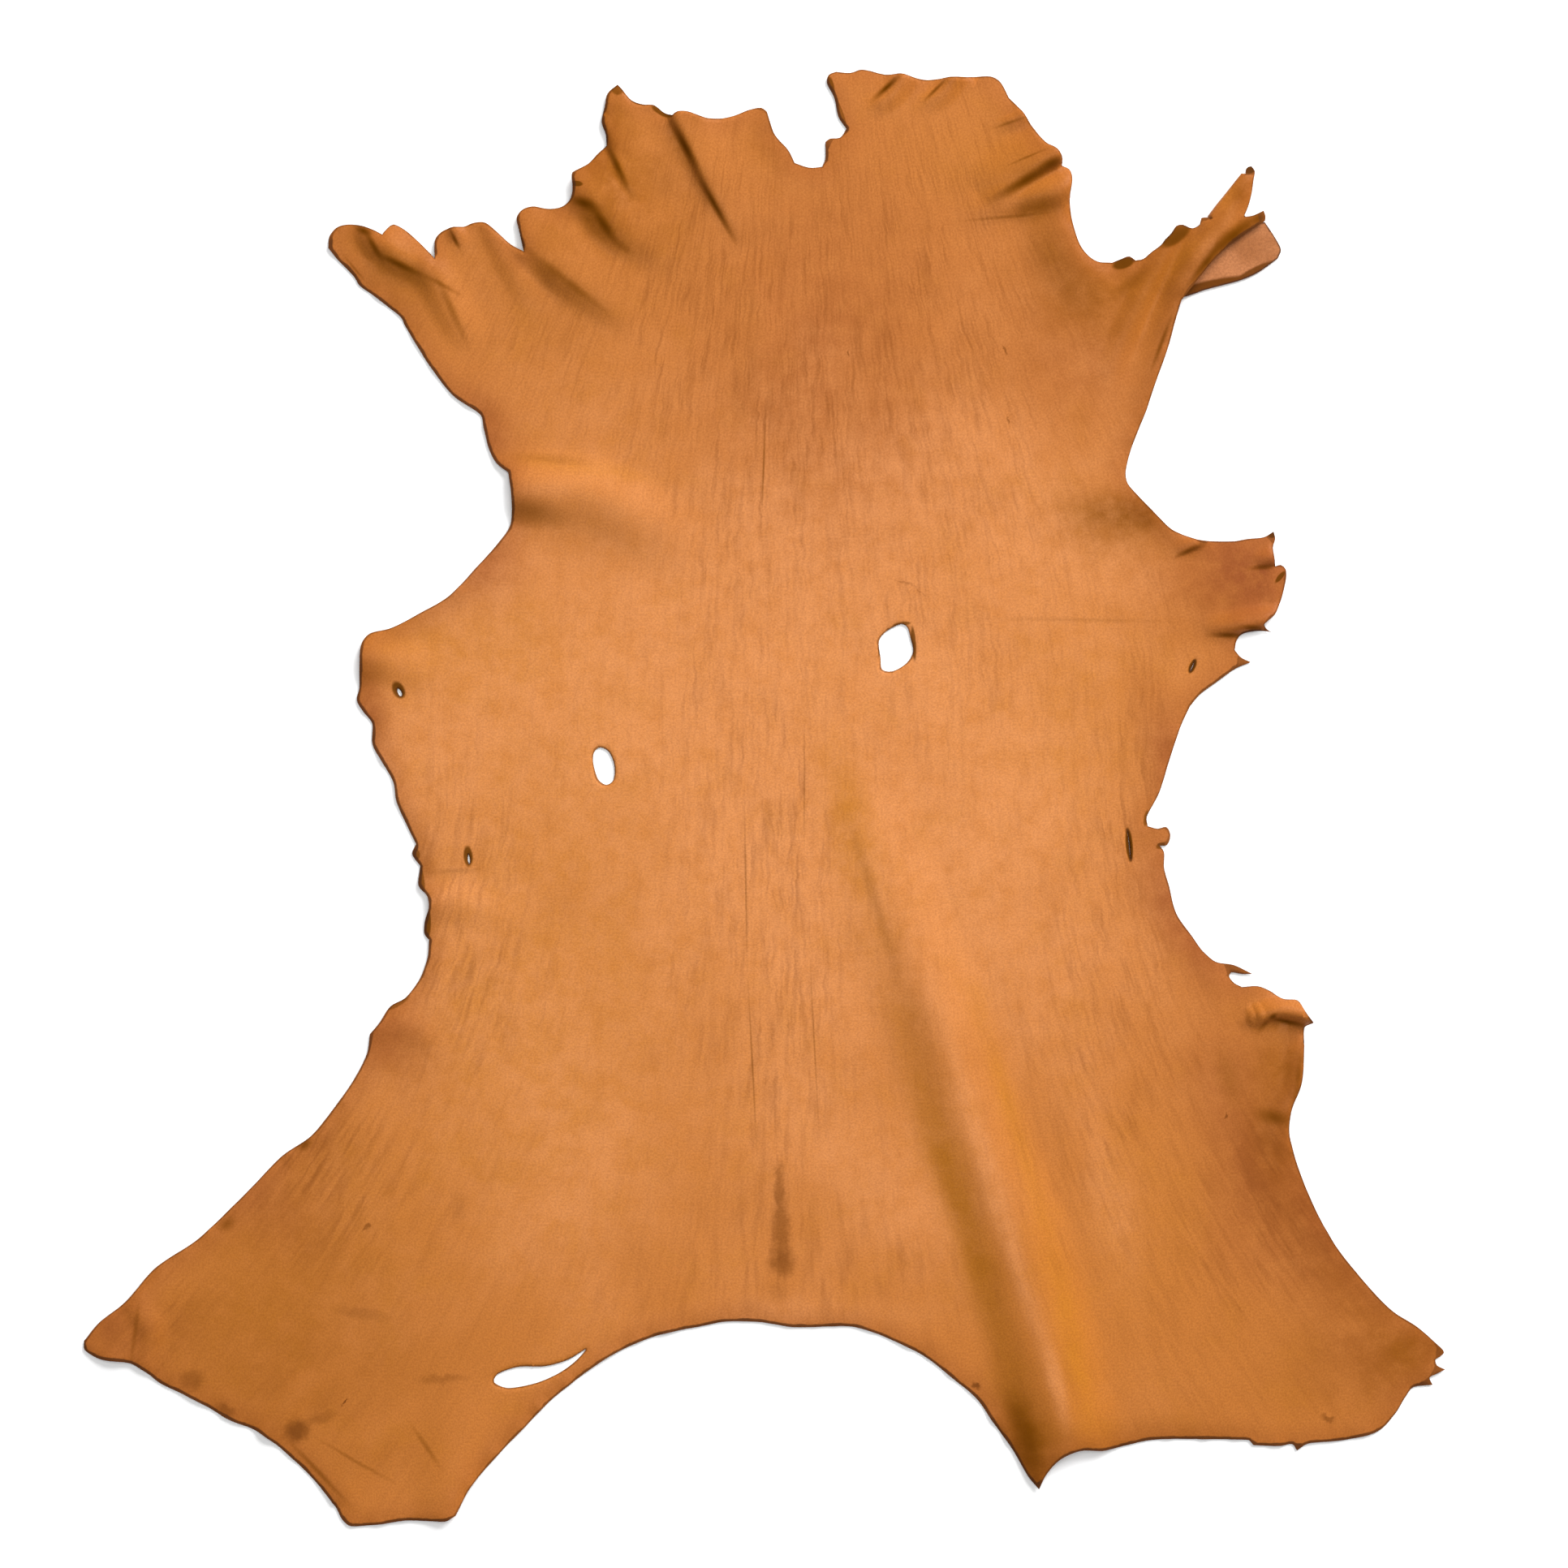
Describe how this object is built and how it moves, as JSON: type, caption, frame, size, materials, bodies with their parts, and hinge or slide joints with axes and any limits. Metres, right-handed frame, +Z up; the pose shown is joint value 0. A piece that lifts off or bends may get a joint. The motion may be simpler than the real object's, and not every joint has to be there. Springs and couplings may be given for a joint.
{
  "type": "leather hide",
  "caption": "A whole tanned leather hide lying flat, warm tan, with leg and neck lobes, worn holes, soft folds and a foreleg end turned under.",
  "frame": {"origin": "centre of the hide's box, on the surface it lies on", "axes": "+Z up out of the grain side, +Y along the spine to the neck, +X to the right foreleg side as seen from above"},
  "size_m": [1.2146, 1.3, 0.0162],
  "materials": {
    "leather": "smooth vegetable-tanned grain with a soft sheen"
  },
  "bodies": {
    "root": {"hide": "leather"}
  },
  "joints": []
}
